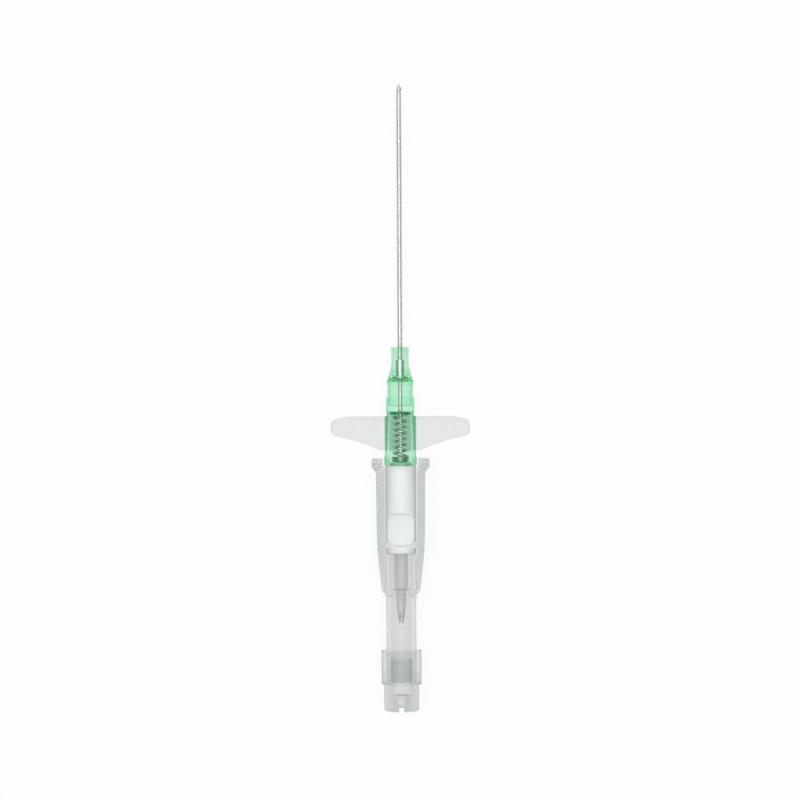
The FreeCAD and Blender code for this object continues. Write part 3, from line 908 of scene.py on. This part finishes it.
@dataclass(frozen=True)
class Ferrule:
    """Flanged steel ferrule that jams the tube's flare in the hub."""

    outer: float = 0.79
    wall: float = 0.12
    rear: float = 59.08
    seat: float = 59.53
    front: float = 62.45
    flange: float = 1.4

    def build(self) -> None:
        """Turn the ferrule and dress it."""
        piece = lathe("flanged_ferrule", [
            Corner(self.outer - self.wall, self.front),
            Corner(self.outer - self.wall, self.rear, ease=0.1),
            Corner(self.flange, self.rear, ease=0.12),
            Corner(self.flange, self.seat, ease=0.12),
            Corner(self.outer, self.seat, ease=0.02),
            Corner(self.outer, self.front, ease=0.04),
        ])
        dressed(piece, FERRULE_STEEL, "catheter", ["tube_wedge"])


@dataclass(frozen=True)
class Hub:
    """Stepped translucent hub with a view chamber and a Luer socket with two lugs."""

    rear: float = 43.75
    rim: float = 2.92
    rim_front: float = 45.05
    rim_slope: float = 0.25
    lug_height: float = 3.9
    lug_half_width: float = 1.5
    lug_front: float = 44.9
    lug_root: float = 0.4
    lug_setback: float = 0.001
    lug_edge: float = 0.12
    body: float = 2.8
    outline: tuple[Corner, ...] = (
        Corner(2.8, 52.5, ease=0.3),
        Corner(2.45, 52.5, ease=0.12),
        Corner(2.45, 53.2, ease=0.12),
        Corner(2.53, 53.2, ease=0.1),
        Corner(2.53, 55.8, ease=0.3),
        Corner(2.28, 55.8, ease=0.2),
        Corner(2.28, 58.15, ease=0.15),
        Corner(2.36, 58.15, ease=0.3),
        Corner(2.36, 59.0, ease=0.3),
        Corner(2.175, 59.0, ease=0.15),
        Corner(1.54, 61.5, ease=0.9),
        Corner(1.54, 63.8, ease=0.08),
        Corner(1.6, 63.8, ease=0.08),
        Corner(1.6, 64.75, ease=0.15),
    )
    socket: tuple[Corner, ...] = (
        Corner(0.648, 64.75, ease=0.05),
        Corner(0.97, 62.45, ease=0.4),
        Corner(0.97, 59.53, ease=0.05),
        Corner(1.5, 59.53, ease=0.1),
        Corner(1.5, 54.33, ease=0.15),
        Corner(1.87, 54.33, ease=0.1),
        Corner(1.87, 51.25, ease=0.02),
        Corner(1.925, 51.25, ease=0.02),
        Corner(2.15, 43.75, ease=0.15),
    )

    def build(self) -> None:
        """Turn the wall, add the two lugs, and dress it."""
        piece = lathe("green_hub", [
            Corner(self.rim, self.rear, ease=0.15),
            Corner(self.rim, self.rim_front, ease=0.2),
            Corner(self.body, self.rim_front + self.rim_slope, ease=0.2),
            *self.outline,
            *self.socket,
        ])
        for side in (-1, 1):
            root = side * (self.rim - self.lug_root)
            start = -self.lug_half_width, self.rear + self.lug_setback, root
            end = self.lug_half_width, self.lug_front, side * self.lug_height
            combined(piece, block("lug", start, end, self.lug_edge), Joined.ADDED)
        dressed(piece, HUB_POLYPROPYLENE, "catheter", ["catheter_hub"])


@dataclass(frozen=True)
class Wings:
    """Two soft wings and the saddle that grips the underside of the hub.

    Each wing's sections lie in two runs of `inner_steps` and `outer_steps`, which meet about
    `run_end`, and in `tip_steps` that round its tip and are drawn in by up to `tip_share` of the
    edge. There the floor rises by a share of that, `tip_floor`, and the rib keeps a share of its
    rise, `tip_rib`.
    """

    half_span: float = 12.45
    thickness: float = 0.8
    edge: float = 0.3
    front_line: tuple[Point, ...] = (
        (0.0, 52.45), (8.9, 52.45), (11.0, 52.12), (12.0, 51.85), (12.45, 51.0),
    )
    rear_line: tuple[Point, ...] = (
        (0.0, 46.35), (2.8, 46.35), (6.0, 47.35), (8.9, 48.28), (11.2, 48.85), (12.1, 49.08),
        (12.45, 49.75),
    )
    under_edge: float = 0.15
    rib_width: float = 0.75
    rib_rise: float = 0.12
    rib_edge: float = 0.15
    rib_slope: float = 0.2
    saddle_inner: float = 2.82
    saddle_outer: float = 3.32
    saddle_degrees: float = 104.0
    saddle_steps: int = 33
    inner_steps: int = 12
    outer_steps: int = 16
    tip_steps: int = 5
    run_end: float = 8.0
    run_gap: float = 0.4
    tip_floor: float = 0.6
    tip_rib: float = 0.4
    tip_share: float = 0.95

    def section(self, across: float, shrink: float) -> list[Vector]:
        """The closed cross-section of the plate at a place across the hub.

        Args:
            across: Distance from the axis in mm.
            shrink: How far the section is drawn in at the tip's rounded edge, in mm.

        Returns:
            The section's points, in metres.
        """
        low = smooth_line(self.rear_line)(abs(across)) + shrink
        high = smooth_line(self.front_line)(abs(across)) - shrink
        floor, top = shrink * self.tip_floor, self.thickness - shrink
        sheet = top - self.rib_rise * (self.tip_rib if shrink else 1)
        rib = high - self.rib_width
        plan = eased([
            Corner(low, floor, self.under_edge),
            Corner(low, sheet, self.edge),
            Corner(rib, sheet, self.rib_edge),
            Corner(rib + self.rib_slope, top, self.rib_edge),
            Corner(high, top, self.edge),
            Corner(high, floor, self.under_edge),
        ])
        return [placed(across, station, height - AXIS_HEIGHT) for station, height in plan]

    def build(self) -> None:
        """Loft the plate across both wings, add the saddle, and dress it."""
        inner = self.half_span - self.edge
        near = spaced(0.0, self.run_end, self.inner_steps)[1:]
        far = spaced(self.run_end + self.run_gap, inner, self.outer_steps)
        right = [(x, 0.0) for x in near + far]
        for step in range(1, self.tip_steps + 1):
            turn = math.pi / 2 * step / self.tip_steps
            shrink = self.edge * (1 - math.cos(turn)) * self.tip_share
            right.append((inner + self.edge * math.sin(turn), shrink))
        rows = [(-x, s) for x, s in reversed(right)] + [(0.0, 0.0)] + right
        piece = loft("wing_plate", [self.section(x, shrink) for x, shrink in rows])
        combined(piece, self.saddle(), Joined.ADDED)
        dressed(piece, WING_ELASTOMER, "catheter", ["wings"])

    def saddle(self) -> Piece:
        """The curved seat under the hub.

        Returns:
            The seat, in place.
        """
        rear, front = self.rear_line[0][1], self.front_line[0][1]
        sections = []
        half = self.saddle_degrees / 2
        for turn in spaced(-half, half, self.saddle_steps):
            angle = math.radians(turn)
            loop = eased([
                Corner(self.saddle_inner, rear),
                Corner(self.saddle_outer, rear, ease=0.1),
                Corner(self.saddle_outer, front, ease=0.1),
                Corner(self.saddle_inner, front),
            ])
            sections.append([placed(r * math.sin(angle), y, -r * math.cos(angle)) for r, y in loop])
        return loft("saddle", sections)


@dataclass(frozen=True)
class Coil:
    """Spring coil wound by a Geometry Nodes tree."""

    rear: float = 45.39
    turns: float = 7.0
    pitch: float = 1.03
    radius: float = 1.28
    wire: float = 0.22
    steps: int = 48

    def tree(self) -> Tree:
        """The node tree that winds the wire, with its sizes as named inputs.

        Returns:
            The new tree.
        """
        tree = bpy.data.node_groups.new("wound_spring", "GeometryNodeTree")
        for name, kind in (
            ("Turns", "Float"), ("Coil Radius", "Float"), ("Height", "Float"),
            ("Wire Radius", "Float"), ("Steps", "Int"), ("Start", "Vector"), ("Finish", "Material"),
        ):
            tree.interface.new_socket(name, in_out="INPUT", socket_type="NodeSocket" + kind)
        tree.interface.new_socket("Geometry", in_out="OUTPUT", socket_type="NodeSocketGeometry")
        given = add_node(tree, "NodeGroupInput").outputs
        path = add_node(tree, "GeometryNodeCurveSpiral", {
            "Resolution": given["Steps"], "Rotations": given["Turns"], "Height": given["Height"],
            "Start Radius": given["Coil Radius"], "End Radius": given["Coil Radius"],
        })
        section = add_node(tree, "GeometryNodeCurvePrimitiveCircle", {
            "Resolution": WIRE_STEPS, "Radius": given["Wire Radius"],
        })
        wire = add_node(tree, "GeometryNodeCurveToMesh", {
            "Curve": path.outputs["Curve"], "Profile Curve": section.outputs["Curve"],
            "Fill Caps": True,
        })
        laid = add_node(tree, "GeometryNodeTransform", {
            "Geometry": wire.outputs["Mesh"], "Translation": given["Start"],
            "Rotation": (-math.pi / 2, 0.0, 0.0),
        })
        real = add_node(tree, "GeometryNodeRealizeInstances", {
            "Geometry": laid.outputs["Geometry"],
        })
        dress = add_node(tree, "GeometryNodeSetMaterial", {
            "Geometry": real.outputs["Geometry"], "Material": given["Finish"],
        })
        add_node(tree, "NodeGroupOutput", {"Geometry": dress.outputs["Geometry"]})
        return tree

    def build(self) -> Piece:
        """Wind the coil and turn it into plain mesh.

        Returns:
            The coil, not yet dressed.
        """
        piece = new_piece("guard_coil", [], [])
        winder = piece.modifiers.new("Wound", "NODES")
        winder.node_group = self.tree()
        sizes = {
            "Turns": self.turns,
            "Coil Radius": self.radius * MM,
            "Height": self.turns * self.pitch * MM,
            "Wire Radius": self.wire * MM,
            "Steps": self.steps,
            "Start": tuple(placed(0.0, self.rear, 0.0)),
            "Finish": SPRING_STEEL.material(),
        }
        for item in winder.node_group.interface.items_tree:
            if item.name in sizes and item.in_out == "INPUT":
                winder[item.identifier] = sizes[item.name]
        return baked(piece)


@dataclass(frozen=True)
class Guard:
    """Needle guard: rear cup, spring coil and front washer."""

    coil: Coil = field(default_factory=Coil)
    outer: float = 1.5
    wall: float = 0.35
    cap: float = 1.8
    cup_rear: float = 44.35
    cup_front: float = 45.15
    cup_hole: float = 0.425
    cap_rear: float = 52.84
    cap_front: float = 53.19
    cap_hole: float = 0.45

    def build(self) -> None:
        """Turn both ends, wind the coil and dress them."""
        inner = self.outer - self.wall
        cup = lathe("guard_cup", [
            Corner(self.cup_hole, self.cup_rear, ease=0.03),
            Corner(self.outer, self.cup_rear, ease=0.12),
            Corner(self.outer, self.cup_front, ease=0.08),
            Corner(inner, self.cup_front, ease=0.08),
            Corner(inner, self.cup_rear + self.wall, ease=0.1),
            Corner(self.cup_hole, self.cup_rear + self.wall, ease=0.03),
        ])
        cap = lathe("guard_washer", [
            Corner(self.cap_hole, self.cap_rear, ease=0.03),
            Corner(self.cap, self.cap_rear, ease=0.1),
            Corner(self.cap, self.cap_front, ease=0.1),
            Corner(self.cap_hole, self.cap_front, ease=0.03),
        ])
        dressed(self.coil.build(), SPRING_STEEL, "guard", ["guard_spring"])
        dressed(cup, STAMPED_STEEL, "guard", ["guard_band"])
        dressed(cap, STAMPED_STEEL, "guard", ["guard_cap"])


@dataclass(frozen=True)
class VentPlug:
    """Slotted plug over the rear of the flash chamber, with its porous filter."""

    end: float = 3.1
    skirt: float = 3.55
    collar: float = 4.8
    skirt_front: float = 10.85
    sleeve: float = 2.72
    skirt_bore: float = 2.95
    skirt_seat: float = 7.15
    floor: float = 5.3
    spigot: float = 1.9
    spigot_front: float = 9.25
    spigot_bore: float = 1.35
    vent_wall: float = 1.3
    vent_hole: float = 0.5
    slot_half: float = 0.45
    slot_depth: float = 0.9
    slot_reach: float = 5.0
    filter_radius: float = 1.33
    filter_length: float = 1.6
    seat: float = 0.02
    edge: float = 0.06

    def build(self) -> None:
        """Turn the cap, cut its slot, add the filter and dress both."""
        cap = lathe("slotted_plug", [
            Corner(self.vent_hole, 0.0, ease=0.05),
            Corner(self.end, 0.0, ease=0.75),
            Corner(self.end, self.collar, ease=0.12),
            Corner(self.skirt, self.collar, ease=0.3),
            Corner(self.skirt, self.skirt_front, ease=0.12),
            Corner(self.skirt_bore, self.skirt_front, ease=0.1),
            Corner(self.skirt_bore, self.skirt_seat, ease=0.15),
            Corner(self.sleeve, self.skirt_seat, ease=0.05),
            Corner(self.sleeve, self.floor, ease=0.15),
            Corner(self.spigot, self.floor, ease=0.1),
            Corner(self.spigot, self.spigot_front, ease=0.12),
            Corner(self.spigot_bore, self.spigot_front, ease=0.1),
            Corner(self.spigot_bore, self.vent_wall, ease=0.1),
            Corner(self.vent_hole, self.vent_wall, ease=0.05),
        ])
        start = -self.slot_half, -PAST, -self.slot_reach
        end = self.slot_half, self.slot_depth, self.slot_reach
        combined(cap, block("slot", start, end), Joined.CUT)
        softened(cap, self.edge)
        dressed(cap, PLUG_POLYPROPYLENE, "vent", ["vent_plug"])
        rear = self.vent_wall + self.seat
        disc = lathe("porous_filter", [
            Corner(0.0, rear),
            Corner(self.filter_radius, rear, ease=0.08),
            Corner(self.filter_radius, rear + self.filter_length, ease=0.08),
            Corner(0.0, rear + self.filter_length),
        ])
        dressed(disc, FILTER_POROUS, "vent", ["filter_disc"])


@dataclass(frozen=True)
class Studio:
    """Pale floor, soft light and the camera that looks straight down."""

    floor_half: float = 1.5
    floor_share: float = 0.9
    paper: str = "#F4F4F4"
    sky_low: str = "#9EA0A1"
    sky_high: str = "#FFFFFF"
    sky_strength: float = 0.75
    white_from: float = 0.8
    overhead: float = 2.0
    overhead_from: float = 0.9
    overhead_full: float = 0.96
    lamp_watts: float = 0.9
    lamp_size: float = 0.7
    lamp_place: Place = (-0.22, 0.2, 0.9)
    lens: float = 150.0
    aim: Point = (-0.035, -0.55)
    distance_mm: float = 592.9
    roll_deg: float = -0.3

    def floor(self) -> None:
        """A wide white sheet that reads as white and keeps a soft shadow."""
        far = self.floor_half
        mesh = bpy.data.meshes.new("floor")
        corners = [(-far, -far, 0), (far, -far, 0), (far, far, 0), (-far, far, 0)]
        mesh.from_pydata(corners, [], [(0, 1, 2, 3)])
        material = blank_material("white_paper")
        tree = material.node_tree
        paper = add_node(tree, "ShaderNodeBsdfDiffuse", {"Color": linear(self.paper)})
        bright = add_node(tree, "ShaderNodeEmission", {
            "Color": (1.0, 1.0, 1.0, 1.0), "Strength": 1.0,
        })
        path = add_node(tree, "ShaderNodeLightPath").outputs
        seen = path["Is Camera Ray"]
        for kind in ("Is Glossy Ray", "Is Transmission Ray"):
            seen = add_node(tree, "ShaderNodeMath", {
                0: seen, 1: path[kind],
            }, operation="MAXIMUM").outputs[0]
        share = add_node(tree, "ShaderNodeMath", {
            0: seen, 1: self.floor_share,
        }, operation="MULTIPLY")
        mixed = add_node(tree, "ShaderNodeMixShader", {
            0: share.outputs[0], 1: paper.outputs["BSDF"], 2: bright.outputs["Emission"],
        })
        add_node(tree, "ShaderNodeOutputMaterial", {"Surface": mixed.outputs["Shader"]})
        mesh.materials.append(material)
        sheet = linked("floor", mesh)

    def sky(self) -> None:
        """A room that is white above and greyer towards the horizon, with a soft box overhead."""
        world = bpy.data.worlds.new("studio")
        world.use_nodes = True
        bpy.context.scene.world = world
        tree = world.node_tree
        tree.nodes.clear()
        place = add_node(tree, "ShaderNodeTexCoord")
        height = add_node(tree, "ShaderNodeSeparateXYZ", {"Vector": place.outputs["Generated"]})
        shade = add_node(tree, "ShaderNodeMapRange", {
            "Value": height.outputs["Z"], "From Max": self.white_from,
        })
        colour = add_node(tree, "ShaderNodeMix", {
            0: shade.outputs["Result"],
            FIRST: linear(self.sky_low),
            SECOND: linear(self.sky_high),
        }, data_type="RGBA")
        box = add_node(tree, "ShaderNodeMapRange", {
            "Value": height.outputs["Z"],
            "From Min": self.overhead_from,
            "From Max": self.overhead_full,
            "To Min": self.sky_strength,
            "To Max": self.sky_strength + self.overhead,
        }, interpolation_type="SMOOTHSTEP")
        light = add_node(tree, "ShaderNodeBackground", {
            "Color": colour.outputs[RESULT], "Strength": box.outputs["Result"],
        })
        add_node(tree, "ShaderNodeOutputWorld", {"Surface": light.outputs["Background"]})

    def lamp(self) -> None:
        """One large soft lamp above the left of the object."""
        light = bpy.data.lights.new("soft_lamp", "AREA")
        light.shape = "SQUARE"
        light.size = self.lamp_size
        light.energy = self.lamp_watts
        lamp = linked("soft_lamp", light)
        lamp.location = Vector(self.lamp_place)
        lamp.rotation_euler = (-lamp.location).to_track_quat("-Z", "Y").to_euler()

    def camera(self) -> None:
        """The camera, looking straight down with the needle's tip at the top."""
        data = bpy.data.cameras.new("top_view")
        data.lens = self.lens
        data.sensor_width = 36.0
        data.clip_start = 0.01
        camera = linked("top_view", data)
        camera.location = Vector((*self.aim, AXIS_HEIGHT + self.distance_mm)) * MM
        camera.rotation_euler = (0.0, 0.0, math.radians(self.roll_deg))
        bpy.context.scene.camera = camera

    def build(self) -> None:
        """Set up the room."""
        bpy.context.scene.view_settings.view_transform = "Standard"
        self.camera()
        self.floor()
        self.sky()
        self.lamp()


def main() -> None:
    """Load the frame, build the room and every piece."""
    logging.basicConfig(level=logging.INFO, format="%(message)s")
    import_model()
    Studio().build()
    for kind in (Needle, Holder, Grip, CatheterTube, Ferrule, Hub, Wings, Guard, VentPlug):
        LOG.info("building %s", kind.__name__)
        kind().build()
    bpy.context.view_layer.update()


if __name__ == "__main__":
    main()
